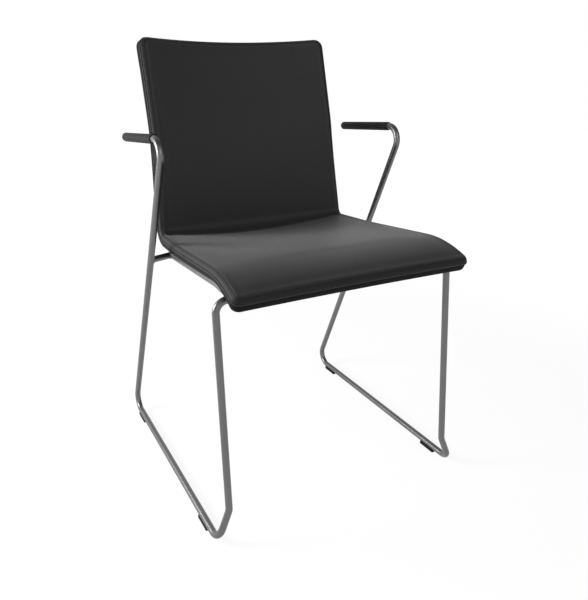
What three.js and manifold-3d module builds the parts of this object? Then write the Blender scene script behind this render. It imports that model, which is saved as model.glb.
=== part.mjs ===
// A visitor chair: one upholstered plywood shell on a bent rod frame with two runners and arm rests.
// Units are millimetres, +Z is up, the sitter looks along -Y, and +X is the sitter's left hand side.
// The origin is on the floor, under the middle of the box that holds the chair.
import * as THREE from 'three';
import { mergeVertices } from 'three/addons/utils/BufferGeometryUtils.js';
import Module from 'manifold-3d';

const wasm = await Module();
wasm.setup();

// Driving dimensions: clearances and tolerances
const seatingGap = 0.3;
const cutOverrun = 2;
const weldTolerance = 0.0001;
const probe = 0.5;

// Driving dimensions: the shell's side profile, measured on its upholstered front face
const creaseY = 109;
const creaseZ = 460;
const creaseRadius = 11;
const seatRearRun = 88;
const seatSagRadius = 1500;
const seatMiddleRun = 155;
const frontRollRadius = 222;
const lowerBackRun = 182;
const lumbarRadius = 330;
const upperBackRun = 150.3;
const frontDropAngle = 25.5;
const seatMiddleSlope = 4.4;
const seatRearSlope = 2.3;
const lowerBackLean = 7.8;
const upperBackLean = 15.1;

// Driving dimensions: the shell's half widths, corners and hollow
const frontHalfWidth = 224.5;
const creaseHalfWidth = 209;
const lumbarHalfWidth = 199;
const topHalfWidth = 196;
const seatCornerRadius = 15;
const topCornerRadius = 17;
const topHollow = 31;
const creaseHollow = 16;
const hollowStartRun = 70;
const frontCrown = 2.5;
const frontCrownRun = 120;

// Driving dimensions: the shell's layers, from the sitter's side to the underside
const coverThickness = 1.2;
const foamThickness = 13.5;
const plywoodThickness = 10;
const waddingThickness = 2;
const crownHeight = 1.6;
const upperSeamInset = 6;
const upperEdgeRadius = 2.5;
const lowerEdgeRadius = 14;
const bandHeight = 7;
const bandThickness = 1.6;
const bandMiddleInset = 1.8;
const weltDiameter = 2.4;
const weltSides = 6;
const weltInset = 0.3;
const plywoodInset = 7;
const waddingInset = 14;
const foamSkirtDepth = 23;

// Driving dimensions: the rods. The frame's width follows from the shell's widest place, the front
// run's place from the shell's underside, and the arm's height from the crease.
const rodDiameter = 12.5;
const runnerStandOff = 30;
const runnerFrontReach = 263;
const runnerRearReach = 270.5;
const kinkDrawIn = 23;
const kinkSetback = 2;
const kinkHeight = 66;
const legTopDrawIn = 25.9;
const frontRunFromEdge = 65.2;
const frontRunDrop = 12.8;
const frontRunLength = 78.6;
const armDrawIn = 13.2;
const armRearDrawIn = 7.7;
const armFrontReach = 61;
const armRise = 201;
const armRearReach = 168;
const armRearFall = 17.4;
const armRodInPad = 160;
const armBendRadius = 26;
const rearFloorBendRadius = 26;
const frontFloorBendRadius = 23;
const kinkBendRadius = 24;
const legTopBendRadius = 20;
const rodSides = 12;
const bendStepAngle = 18;

// Driving dimensions: the seat rails and their rear stubs
const railInset = 12;
const railBeforeCorner = 19.6;
const railRearDrop = 9.2;
const railBreakPastRoll = 33.7;
const railBreakDrop = 9.5;
const railFrontSplay = 1.5;
const railBendRadius = 45;
const stubRise = 4.3;

// Driving dimensions: the arm pads
const padDiameter = 16.6;
const padLength = 180;
const padFrontSetback = 49;
const padFrontRounding = 2.5;
const padRearRounding = 7;
const padEndSteps = 3;
const padSides = 16;

// Driving dimensions: the glides
const glideThickness = 5;
const glideLength = 40;
const glideFootHalfWidth = 5.6;
const glideHalfWidth = 7;
const glideFootHeight = 1.6;
const glideCradleDrop = 3;
const glidePegDiameter = 4;
const glidePegHeight = 4;
const glidePegSides = 10;
const frontGlideSetback = 64;
const rearGlideSetback = 65.5;
const grooveSteps = 8;

// Driving dimensions: the fixings of the shell
const screwRailDistance = 24;
const frontScrewPastRoll = 71;
const rearScrewBeforeCorner = 79.7;
const lugWidth = 26;
const lugThickness = 3;
const lugHoleDiameter = 6.8;
const lugInnerMargin = 13;
const spacerDiameter = 20;
const screwDiameter = 6;
const screwHeadDiameter = 10.5;
const screwHeadHeight = 3.3;
const screwCrownShare = 0.55;
const screwLength = 20;
const insertDiameter = 8;
const insertFlangeDiameter = 19;
const insertFlangeThickness = 1.4;
const insertLength = 9;
const fixingSides = 14;

const rodRadius = rodDiameter / 2;
const runnerHeight = glideThickness + rodRadius;
const radians = THREE.MathUtils.degToRad;

// Materials
const fabric = (color) => new THREE.MeshStandardMaterial({ color, roughness: 0.85, metalness: 0 });
const panelFabric = fabric(0x2c2c2e);
const bandFabric = fabric(0x303032);
const underFabric = fabric(0x1b1b1c);
const weltFabric = fabric(0x38383a);
const foamMaterial = new THREE.MeshStandardMaterial({ color: 0xd8d2b8, roughness: 0.95, metalness: 0 });
const waddingMaterial = new THREE.MeshStandardMaterial({ color: 0xe6e6e2, roughness: 0.95, metalness: 0 });
const plywoodMaterial = new THREE.MeshStandardMaterial({ color: 0xc69c6d, roughness: 0.6, metalness: 0 });
const satinSteel = new THREE.MeshStandardMaterial({ color: 0xa9a9a9, roughness: 0.35, metalness: 0.9 });
const padMaterial = new THREE.MeshStandardMaterial({ color: 0x222223, roughness: 0.6, metalness: 0 });
const glideMaterial = new THREE.MeshStandardMaterial({ color: 0x161616, roughness: 0.6, metalness: 0 });
const screwSteel = new THREE.MeshStandardMaterial({ color: 0x3a3a3c, roughness: 0.4, metalness: 0.8 });
const zincSteel = new THREE.MeshStandardMaterial({ color: 0xb9bbbd, roughness: 0.4, metalness: 0.8 });

const chair = new THREE.Group();

function addMesh(name, geometry, material) {
  const mesh = new THREE.Mesh(geometry, material);
  mesh.name = name;
  chair.add(mesh);
  return mesh;
}

// Closed meshes and booleans

function positionsOnly(geometry) {
  const plain = geometry.clone();
  for (const name of Object.keys(plain.attributes)) {
    if (name !== 'position') plain.deleteAttribute(name);
  }
  return mergeVertices(plain, weldTolerance);
}

function toSolid(geometry) {
  const merged = positionsOnly(geometry);
  const vertProperties = new Float32Array(merged.attributes.position.array);
  const triVerts = new Uint32Array(merged.index.array);
  return new wasm.Manifold(new wasm.Mesh({ numProp: 3, vertProperties, triVerts }));
}

function toGeometry(solid) {
  const mesh = solid.getMesh();
  const geometry = new THREE.BufferGeometry();
  geometry.setAttribute('position', new THREE.BufferAttribute(mesh.vertProperties, 3));
  geometry.setIndex(new THREE.BufferAttribute(mesh.triVerts, 1));
  geometry.computeVertexNormals();
  return geometry;
}

function join(geometry, other) {
  return toGeometry(toSolid(geometry).add(toSolid(other)));
}

function cut(geometry, cutters) {
  let solid = toSolid(geometry);
  for (const cutter of cutters) solid = solid.subtract(toSolid(cutter));
  return toGeometry(solid);
}

// Depths of the layers below the upholstered face
const foamTop = coverThickness + seatingGap;
const foamBottom = foamTop + foamThickness;
const plywoodTop = foamBottom + seatingGap;
const plywoodBottom = plywoodTop + plywoodThickness;
const waddingTop = plywoodBottom + seatingGap;
const waddingBottom = waddingTop + waddingThickness;
const underCoverTop = waddingBottom + seatingGap;
const shellThickness = underCoverTop + coverThickness;
const bandTop = upperEdgeRadius + seatingGap;
const bandBottom = bandTop + bandHeight;
const weltCentre = bandBottom + seatingGap + weltDiameter / 2;
const underBandTop = weltCentre + weltDiameter / 2 + seatingGap;

// The side profile: straight runs and arcs from the seat's front end to the top of the back.
// Each piece has a length and a turn; the heading is the angle of the walk above +Y.
function arc(radius, turn) {
  return { length: radius * Math.abs(radians(turn)), turn: radians(turn) };
}

function straight(length) {
  return { length, turn: 0 };
}

const creaseTurn = 90 - lowerBackLean + seatRearSlope;
const creaseTangent = creaseRadius * Math.tan(radians(creaseTurn) / 2);
const seatPieces = [
  arc(frontRollRadius, -(frontDropAngle + seatMiddleSlope)),
  straight(seatMiddleRun),
  arc(seatSagRadius, seatMiddleSlope - seatRearSlope),
  straight(seatRearRun - creaseTangent),
];
const creasePiece = arc(creaseRadius, creaseTurn);
const backPieces = [
  straight(lowerBackRun - creaseTangent),
  arc(lumbarRadius, lowerBackLean - upperBackLean),
  straight(upperBackRun),
];
const profilePieces = [...seatPieces, creasePiece, ...backPieces];

function totalLength(pieces) {
  return pieces.reduce((sum, piece) => sum + piece.length, 0);
}

const rollLength = seatPieces[0].length;
const seatLength = totalLength(seatPieces);
const creaseRun = seatLength + creasePiece.length / 2;
const backStartRun = seatLength + creasePiece.length;
const lumbarRun = backStartRun + backPieces[0].length;
const cornerRun = seatLength + creaseTangent;
const shellLength = totalLength(profilePieces);

function walk(pieces, distance, start) {
  let { y, z, heading } = start;
  let left = distance;
  for (const piece of pieces) {
    const part = Math.min(left, piece.length);
    const turn = piece.turn * part / piece.length;
    const chord = turn === 0 ? part : 2 * (part / turn) * Math.sin(turn / 2);
    y += chord * Math.cos(heading + turn / 2);
    z += chord * Math.sin(heading + turn / 2);
    heading += turn;
    left -= part;
    if (left <= 0) break;
  }
  return { y, z, heading };
}

// The front end's place follows from the crease corner, where the seat and back lines would meet.
const startHeading = radians(frontDropAngle);
const seatSpan = walk(seatPieces, seatLength, { y: 0, z: 0, heading: startHeading });
const profileStart = {
  y: creaseY - creaseTangent * Math.cos(radians(seatRearSlope)) - seatSpan.y,
  z: creaseZ + creaseTangent * Math.sin(radians(seatRearSlope)) - seatSpan.z,
  heading: startHeading,
};

function profileAt(run) {
  return walk(profilePieces, Math.max(run, 0), profileStart);
}

// Smooth step between two runs, 0 before the first and 1 after the second.
function ease(from, to, run) {
  return THREE.MathUtils.smootherstep(run, from, to);
}

// The half width tapers from the seat's front to the top of the back.
const widthRuns = [0, creaseRun, lumbarRun, shellLength];
const halfWidths = [frontHalfWidth, creaseHalfWidth, lumbarHalfWidth, topHalfWidth];

function halfWidthAt(run) {
  const clamped = THREE.MathUtils.clamp(run, 0, shellLength);
  let i = 0;
  while (i < widthRuns.length - 2 && clamped > widthRuns[i + 1]) i += 1;
  const slopeAt = (k) => {
    const a = Math.max(k - 1, 0);
    const b = Math.min(k + 1, widthRuns.length - 1);
    return (halfWidths[b] - halfWidths[a]) / (widthRuns[b] - widthRuns[a]);
  };
  const step = widthRuns[i + 1] - widthRuns[i];
  const t = (clamped - widthRuns[i]) / step;
  const h00 = (1 + 2 * t) * (1 - t) ** 2;
  const h10 = t * (1 - t) ** 2;
  const h01 = t * t * (3 - 2 * t);
  const h11 = t * t * (t - 1);
  const a = h00 * halfWidths[i] + h10 * step * slopeAt(i);
  return a + h01 * halfWidths[i + 1] + h11 * step * slopeAt(i + 1);
}

// How far the middle lies behind the edges: most at the top of the back, while the seat's front
// edge stands a little proud of its corners.
function hollowAt(run) {
  const front = frontCrown * (ease(0, frontCrownRun, run) - 1);
  const seat = creaseHollow * ease(hollowStartRun, creaseRun, run);
  return front + seat + (topHollow - creaseHollow) * ease(creaseRun, shellLength, run);
}

function facePoint(x, run, target) {
  const at = profileAt(run);
  const across = x / halfWidthAt(run);
  const hollow = hollowAt(run) * (1 - across * across);
  return target.set(x, at.y + hollow * Math.sin(at.heading), at.z - hollow * Math.cos(at.heading));
}

// The face's normal, towards the sitter, from small steps across and along the face.
const ahead = new THREE.Vector3();
const behind = new THREE.Vector3();

function faceNormal(x, run) {
  const acrossStep = facePoint(x + probe, run, ahead).clone().sub(facePoint(x - probe, run, behind));
  const safeRun = THREE.MathUtils.clamp(run, probe, shellLength - probe);
  const a = facePoint(x, safeRun + probe, ahead).clone();
  const alongStep = a.sub(facePoint(x, safeRun - probe, behind));
  return acrossStep.cross(alongStep).normalize();
}

// A flat place (x across, run along, depth below the face) bent into the shell's shape.
function bend(x, run, depth) {
  const point = facePoint(x, run, new THREE.Vector3());
  return point.addScaledVector(faceNormal(x, run), -depth);
}

// A place for a rod under the shell, at the given distance below the shell's underside
function underShell(halfSpread, run, drop) {
  const place = bend(halfSpread, run, shellThickness + drop);
  return [halfSpread, place.y, place.z];
}

// Stations across and along the shell, shared by every layer so that the layers nest
const acrossCount = 8;
const cornerCount = 3;
const runStations = [];
const frontRollSteps = 4;
const seatSteps = 4;
const creaseSteps = 5;
const lowerBackSteps = 2;
const upperBackSteps = 3;

function addStations(from, to, steps) {
  for (let i = 1; i <= steps; i += 1) runStations.push(from + (to - from) * i / steps);
}

addStations(seatCornerRadius, rollLength, frontRollSteps);
addStations(rollLength, seatLength, seatSteps);
addStations(seatLength, backStartRun, creaseSteps);
addStations(backStartRun, lumbarRun, lowerBackSteps);
addStations(lumbarRun, shellLength - topCornerRadius, upperBackSteps);
runStations.pop();

// Rows along the shell for one inset of the outline: the run and the half width there.
function outlineRows(inset) {
  const rows = [];
  const corner = (radius, i) => {
    const angle = (Math.PI / 2) * i / cornerCount;
    const small = Math.max(radius - inset, probe);
    return { along: inset + small * (1 - Math.cos(angle)), cutBack: small * (1 - Math.sin(angle)) };
  };
  for (let i = 0; i <= cornerCount; i += 1) {
    const { along, cutBack } = corner(seatCornerRadius, i);
    rows.push({ run: along, half: halfWidthAt(along) - inset - cutBack });
  }
  for (const run of runStations) rows.push({ run, half: halfWidthAt(run) - inset });
  for (let i = cornerCount; i >= 0; i -= 1) {
    const { along, cutBack } = corner(topCornerRadius, i);
    const run = shellLength - along;
    rows.push({ run, half: halfWidthAt(run) - inset - cutBack });
  }
  return rows;
}

const rowCount = outlineRows(0).length;

// The order in which the rim's points follow each other, as [row, column] pairs
const rim = [];
for (let c = 0; c < acrossCount; c += 1) rim.push([0, c]);
for (let r = 0; r < rowCount - 1; r += 1) rim.push([r, acrossCount]);
for (let c = acrossCount; c > 0; c -= 1) rim.push([rowCount - 1, c]);
for (let r = rowCount - 1; r > 0; r -= 1) rim.push([r, 0]);

// One sheet of points: a full grid at the given inset and depth, and its rim loop.
function gridPoints(inset, depthAt) {
  const rows = outlineRows(inset);
  return rows.map(({ run, half }, r) => {
    const line = [];
    for (let c = 0; c <= acrossCount; c += 1) {
      const share = 2 * c / acrossCount - 1;
      line.push(bend(share * half, run, depthAt(share, r)));
    }
    return line;
  });
}

function rimPoints(inset, depth) {
  const rows = outlineRows(inset);
  return rim.map(([r, c]) => {
    const share = 2 * c / acrossCount - 1;
    return bend(share * rows[r].half, rows[r].run, depth);
  });
}

class Surface {
  constructor() {
    this.vertices = [];
    this.triangles = [];
  }

  point(p) {
    this.vertices.push(p.x, p.y, p.z);
    return this.vertices.length / 3 - 1;
  }

  quad(a, b, c, d) {
    this.triangles.push(a, b, c, a, c, d);
  }

  // A grid facing the sitter, or the other way when flipped; gives the indices of its rim.
  // The diagonals mirror each other about the middle, and a flipped grid keeps the same ones.
  sheet(points, flipped) {
    const index = points.map((line) => line.map((p) => this.point(p)));
    for (let r = 0; r < points.length - 1; r += 1) {
      for (let i = 0; i < acrossCount; i += 1) {
        const corners = [index[r][i], index[r][i + 1], index[r + 1][i + 1], index[r + 1][i]];
        if (i >= acrossCount / 2) corners.push(corners.shift());
        const [a, b, c, d] = corners;
        if (flipped) this.quad(a, d, c, b);
        else this.quad(a, b, c, d);
      }
    }
    return rim.map(([r, c]) => index[r][c]);
  }

  loop(points) {
    return points.map((p) => this.point(p));
  }

  // A strip between two loops; the first lies nearer the sitter on an outer wall
  strip(first, second) {
    const n = first.length;
    for (let i = 0; i < n; i += 1) {
      const j = (i + 1) % n;
      this.quad(first[i], second[i], second[j], first[j]);
    }
  }

  geometry() {
    const geometry = new THREE.BufferGeometry();
    geometry.setAttribute('position', new THREE.Float32BufferAttribute(this.vertices, 3));
    geometry.setIndex(this.triangles);
    geometry.computeVertexNormals();
    return geometry;
  }
}

// The crown swells the face towards its middle and fades at its rim.
function crownedDepth(depth) {
  return (share, row) => {
    const along = 2 * row / (rowCount - 1) - 1;
    return depth - crownHeight * (1 - share ** 4) * (1 - along ** 8);
  };
}

const edgeSteps = 3;

// Inset and depth along a rounded upper edge, from the face to the side
function upperEdge(outerInset, topDepth, radius) {
  const points = [];
  for (let i = 0; i <= edgeSteps; i += 1) {
    const angle = (Math.PI / 2) * i / edgeSteps;
    points.push([outerInset + radius * (1 - Math.sin(angle)), topDepth + radius * (1 - Math.cos(angle))]);
  }
  return points;
}

// Inset and depth along a rounded lower edge, from the side to the underside
function lowerEdge(outerInset, bottomDepth, radius) {
  const points = [];
  for (let i = 0; i <= edgeSteps; i += 1) {
    const angle = (Math.PI / 2) * i / edgeSteps;
    const inset = outerInset + radius * (1 - Math.cos(angle));
    points.push([inset, bottomDepth - radius * (1 - Math.sin(angle))]);
  }
  return points;
}

// Closes a walk of section points round the rim, from a sheet facing the sitter to one facing away.
function closedBetween(section, upperDepth, lowerDepth) {
  const surface = new Surface();
  let previous = surface.sheet(gridPoints(section[0][0], upperDepth), false);
  for (const [inset, depth] of section.slice(1, -1)) {
    const next = surface.loop(rimPoints(inset, depth));
    surface.strip(previous, next);
    previous = next;
  }
  const lastInset = section[section.length - 1][0];
  surface.strip(previous, surface.sheet(gridPoints(lastInset, lowerDepth), true));
  return surface.geometry();
}

// A closed ring round the shell from a closed list of inset and depth pairs
function ring(section) {
  const surface = new Surface();
  const loops = section.map(([inset, depth]) => surface.loop(rimPoints(inset, depth)));
  loops.forEach((loop, i) => surface.strip(loop, loops[(i + 1) % loops.length]));
  return surface.geometry();
}

// The upholstery and the shell inside it

const flatDepth = (depth) => () => depth;

function frontCover() {
  const outer = upperEdge(upperSeamInset, 0, upperEdgeRadius);
  const innerInset = upperSeamInset + coverThickness;
  const inner = upperEdge(innerInset, coverThickness, upperEdgeRadius - coverThickness);
  return closedBetween([...outer, ...inner.reverse()], crownedDepth(0), crownedDepth(coverThickness));
}

function rearCover() {
  const outer = lowerEdge(0, shellThickness, lowerEdgeRadius);
  const inner = lowerEdge(coverThickness, underCoverTop, lowerEdgeRadius - coverThickness);
  const lip = [[coverThickness, underBandTop], [0, underBandTop]];
  const section = [...inner.reverse(), ...lip, ...outer];
  return closedBetween(section, flatDepth(underCoverTop), flatDepth(shellThickness));
}

const bandMiddle = (bandTop + bandBottom) / 2;

// The band slopes out from the upper seam to the shell's widest place and swells a little on the way.
function sideBand() {
  return ring([
    [upperSeamInset, bandTop],
    [bandMiddleInset, bandMiddle],
    [0, bandBottom],
    [bandThickness, bandBottom],
    [bandMiddleInset + bandThickness, bandMiddle],
    [upperSeamInset + bandThickness, bandTop],
  ]);
}

function welt() {
  const section = [];
  const radius = weltDiameter / 2;
  for (let i = 0; i < weltSides; i += 1) {
    const angle = 2 * Math.PI * i / weltSides;
    section.push([weltInset - radius * Math.cos(angle), weltCentre + radius * Math.sin(angle)]);
  }
  return ring(section);
}

function frontFoam() {
  const skin = bandThickness + seatingGap;
  const seamInset = upperSeamInset + skin;
  const weltClear = Math.max(skin, weltInset + weltDiameter / 2 + seatingGap);
  const wall = plywoodInset - seatingGap;
  const section = [
    ...upperEdge(seamInset, foamTop, upperEdgeRadius - foamTop),
    [seamInset, bandTop],
    [bandMiddleInset + skin, bandMiddle],
    [weltClear, bandBottom],
    [weltClear, weltCentre],
    [wall, foamSkirtDepth],
    [wall, foamBottom],
  ];
  return closedBetween(section, crownedDepth(foamTop), flatDepth(foamBottom));
}

function slab(inset, top, bottom) {
  return closedBetween([[inset, top], [inset, bottom]], flatDepth(top), flatDepth(bottom));
}

// Places on the frame's +X side that follow from the shell
const runnerHalfSpread = Math.max(...halfWidths) + runnerStandOff;
const legTop = underShell(runnerHalfSpread - legTopDrawIn, frontRunFromEdge, frontRunDrop);
const armHeight = creaseZ + armRise;
const armCorner = [runnerHalfSpread - armDrawIn, -armFrontReach, armHeight];
const armRear = [runnerHalfSpread - armRearDrawIn, armRearReach, armHeight - armRearFall];
const rearFoot = [runnerHalfSpread, runnerRearReach, runnerHeight];
const railHalfSpread = creaseHalfWidth - railInset;
const railRear = underShell(railHalfSpread, cornerRun - railBeforeCorner, railRearDrop);
const railBreak = underShell(railHalfSpread, rollLength + railBreakPastRoll, railBreakDrop);

// The place on the rear leg's centre line at a given height
function onRearLeg(height) {
  const share = (armCorner[2] - height) / (armCorner[2] - rearFoot[2]);
  return armCorner.map((value, i) => value + (rearFoot[i] - value) * share);
}

// The fixings: at each one a frame with its Y axis square to the shell, towards the sitter
const screwHalfSpread = railHalfSpread - screwRailDistance;
const frontScrewRun = rollLength + frontScrewPastRoll;
const rearScrewRun = cornerRun - rearScrewBeforeCorner;
const fixingPlaces = [];
for (const [endName, run] of [['front', frontScrewRun], ['rear', rearScrewRun]]) {
  for (const [sideName, side] of [['left', -1], ['right', 1]]) {
    const x = side * screwHalfSpread;
    const normal = faceNormal(x, run);
    const across = new THREE.Vector3(1, 0, 0);
    across.addScaledVector(normal, -across.dot(normal)).normalize();
    const frame = new THREE.Matrix4().makeBasis(across, normal, across.clone().cross(normal));
    frame.setPosition(bend(x, run, 0));
    fixingPlaces.push({ name: `${endName}_${sideName}`, side, frame });
  }
}

// A solid of revolution about a fixing's axis from radius and depth pairs, in a closed loop
function turned(pairs) {
  const points = pairs.map(([radius, depth]) => new THREE.Vector2(radius, -depth));
  return new THREE.LatheGeometry(points, fixingSides);
}

function turnedRing(innerDiameter, outerDiameter, top, bottom) {
  const inner = innerDiameter / 2;
  const outer = outerDiameter / 2;
  return turned([[inner, bottom], [outer, bottom], [outer, top], [inner, top], [inner, bottom]]);
}

function turnedRod(diameter, top, bottom) {
  const radius = diameter / 2;
  return turned([[0, bottom], [radius, bottom], [radius, top], [0, top]]);
}

function atFixings(geometry) {
  return fixingPlaces.map(({ frame }) => geometry.clone().applyMatrix4(frame));
}

const spacerTop = shellThickness + seatingGap;
const spacerBottom = spacerTop + rodRadius - lugThickness / 2;
const lugTop = spacerBottom + seatingGap;
const lugBottom = lugTop + lugThickness;
const headTop = lugBottom + seatingGap;
const insertBore = screwDiameter + 2 * seatingGap;
const insertTop = plywoodTop;
const insertSeat = insertTop + insertFlangeThickness;

const barrelBore = insertDiameter + 2 * seatingGap;
const flangeBore = insertFlangeDiameter + 2 * seatingGap;
const cutTop = plywoodTop - cutOverrun;
const plywoodCutters = [
  ...atFixings(turnedRod(barrelBore, cutTop, plywoodBottom + cutOverrun)),
  ...atFixings(turnedRod(flangeBore, cutTop, insertSeat + seatingGap)),
];
const screwCutters = atFixings(turnedRod(lugHoleDiameter, plywoodBottom - cutOverrun, spacerBottom));

addMesh('front_cover', frontCover(), panelFabric);
addMesh('side_band', sideBand(), bandFabric);
addMesh('seam_welt', welt(), weltFabric);
addMesh('rear_cover', cut(rearCover(), screwCutters), underFabric);
addMesh('front_foam', frontFoam(), foamMaterial);
addMesh('plywood_shell', cut(slab(plywoodInset, plywoodTop, plywoodBottom), plywoodCutters), plywoodMaterial);
addMesh('rear_wadding', cut(slab(waddingInset, waddingTop, waddingBottom), screwCutters), waddingMaterial);

// Rods: straight runs between corners, rounded by arcs, as one path of stations
class BentPath extends THREE.Curve {
  constructor(corners, bendRadii) {
    super();
    this.places = [corners[0].clone()];
    this.headings = [corners[1].clone().sub(corners[0]).normalize()];
    for (let i = 1; i < corners.length - 1; i += 1) this.addBend(corners, i, bendRadii[i - 1]);
    const last = corners.length - 1;
    this.places.push(corners[last].clone());
    this.headings.push(corners[last].clone().sub(corners[last - 1]).normalize());
  }

  addBend(corners, i, radius) {
    const into = corners[i].clone().sub(corners[i - 1]).normalize();
    const out = corners[i + 1].clone().sub(corners[i]).normalize();
    const turn = into.angleTo(out);
    const tangent = radius * Math.tan(turn / 2);
    const start = corners[i].clone().addScaledVector(into, -tangent);
    const inwards = out.clone().addScaledVector(into, -out.dot(into)).normalize();
    const centre = start.clone().addScaledVector(inwards, radius);
    const steps = Math.max(1, Math.ceil(turn / radians(bendStepAngle)));
    for (let k = 0; k <= steps; k += 1) {
      const angle = turn * k / steps;
      const place = centre.clone().addScaledVector(inwards, -radius * Math.cos(angle));
      this.places.push(place.addScaledVector(into, radius * Math.sin(angle)));
      const heading = into.clone().multiplyScalar(Math.cos(angle));
      this.headings.push(heading.addScaledVector(inwards, Math.sin(angle)));
    }
  }

  get steps() {
    return this.places.length - 1;
  }

  getPointAt(share, target = new THREE.Vector3()) {
    return target.copy(this.places[Math.round(share * this.steps)]);
  }

  getTangentAt(share, target = new THREE.Vector3()) {
    return target.copy(this.headings[Math.round(share * this.steps)]);
  }
}

function roundSection(radius, sides) {
  const points = [];
  for (let i = 0; i < sides; i += 1) {
    const angle = 2 * Math.PI * (i + 0.5) / sides;
    points.push(new THREE.Vector2(radius * Math.cos(angle), radius * Math.sin(angle)));
  }
  return new THREE.Shape(points);
}

function rod(corners, bendRadii, radius) {
  const path = new BentPath(corners, bendRadii);
  const section = roundSection(radius, rodSides);
  return new THREE.ExtrudeGeometry(section, { steps: path.steps, bevelEnabled: false, extrudePath: path });
}

function sidePoint(side, [x, y, z]) {
  return new THREE.Vector3(side * x, y, z);
}

function armDirection(side) {
  return sidePoint(side, armRear).sub(sidePoint(side, armCorner)).normalize();
}

function armPlace(side, distance) {
  return sidePoint(side, armCorner).addScaledVector(armDirection(side), distance);
}

const [legTopHalfSpread, frontRunY, frontRunHeight] = legTop;
const crossRodJoint = [legTopHalfSpread - frontRunLength, frontRunY, frontRunHeight];

function frameCorners(side) {
  return [
    armPlace(side, padFrontSetback + armRodInPad),
    sidePoint(side, armCorner),
    sidePoint(side, rearFoot),
    sidePoint(side, [runnerHalfSpread, -runnerFrontReach, runnerHeight]),
    sidePoint(side, [runnerHalfSpread - kinkDrawIn, kinkSetback - runnerFrontReach, kinkHeight]),
    sidePoint(side, legTop),
    sidePoint(side, crossRodJoint),
  ];
}

const frameRadii = [
  armBendRadius, rearFloorBendRadius, frontFloorBendRadius, kinkBendRadius, legTopBendRadius,
];

// The rail's rear end passes the stub's centre line by the rod's radius.
function railCorners(side) {
  const rearEnd = sidePoint(side, railRear);
  rearEnd.y += rodRadius;
  const frontEnd = [railHalfSpread + railFrontSplay, frontRunY, frontRunHeight];
  return [rearEnd, sidePoint(side, railBreak), sidePoint(side, frontEnd)];
}

function stubCorners(side) {
  const legEnd = onRearLeg(railRear[2] + stubRise);
  return [sidePoint(side, railRear), sidePoint(side, legEnd)];
}

// The arm pad is turned about its own +Y axis, from its front face to its round rear end.
function armPad() {
  const radius = padDiameter / 2;
  const bore = rodRadius + seatingGap;
  const points = [
    new THREE.Vector2(0, armRodInPad + seatingGap),
    new THREE.Vector2(bore, armRodInPad + seatingGap),
    new THREE.Vector2(bore, 0),
    new THREE.Vector2(radius - padFrontRounding, 0),
    new THREE.Vector2(radius, padFrontRounding),
  ];
  for (let i = 0; i <= padEndSteps; i += 1) {
    const angle = (Math.PI / 2) * i / padEndSteps;
    const along = padLength - padRearRounding + padRearRounding * Math.sin(angle);
    const outwards = radius - padRearRounding + padRearRounding * Math.cos(angle);
    points.push(new THREE.Vector2(outwards, along));
  }
  points.push(new THREE.Vector2(0, padLength));
  return new THREE.LatheGeometry(points, padSides);
}

// A glide: a low foot that cradles the rod from below, with a peg up into a hole in the rod
function glide() {
  const groove = rodRadius + seatingGap;
  const lipAngle = -Math.asin(glideCradleDrop / groove);
  const lipHeight = runnerHeight - glideCradleDrop;
  const points = [
    new THREE.Vector2(-glideFootHalfWidth, 0),
    new THREE.Vector2(glideFootHalfWidth, 0),
    new THREE.Vector2(glideHalfWidth, glideFootHeight),
    new THREE.Vector2(glideHalfWidth, lipHeight),
  ];
  for (let i = 0; i <= grooveSteps; i += 1) {
    const angle = lipAngle - (Math.PI + 2 * lipAngle) * i / grooveSteps;
    points.push(new THREE.Vector2(groove * Math.cos(angle), runnerHeight + groove * Math.sin(angle)));
  }
  points.push(new THREE.Vector2(-glideHalfWidth, lipHeight));
  points.push(new THREE.Vector2(-glideHalfWidth, glideFootHeight));
  const section = new THREE.Shape(points);
  const foot = new THREE.ExtrudeGeometry(section, { depth: glideLength, bevelEnabled: false });
  foot.rotateX(Math.PI / 2);
  foot.translate(0, glideLength / 2, 0);
  return foot;
}

// The peg of a glide, or with the gap added the hole for it, standing on the glide's own centre
function glidePeg(gap) {
  const radius = glidePegDiameter / 2 + gap;
  const bottom = glideThickness / 2;
  const top = glideThickness + glidePegHeight + gap;
  const peg = new THREE.CylinderGeometry(radius, radius, top - bottom, glidePegSides);
  peg.rotateX(Math.PI / 2);
  peg.translate(0, 0, (top + bottom) / 2);
  return peg;
}

const noBends = [];
const cutRadius = rodRadius + seatingGap;

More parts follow.
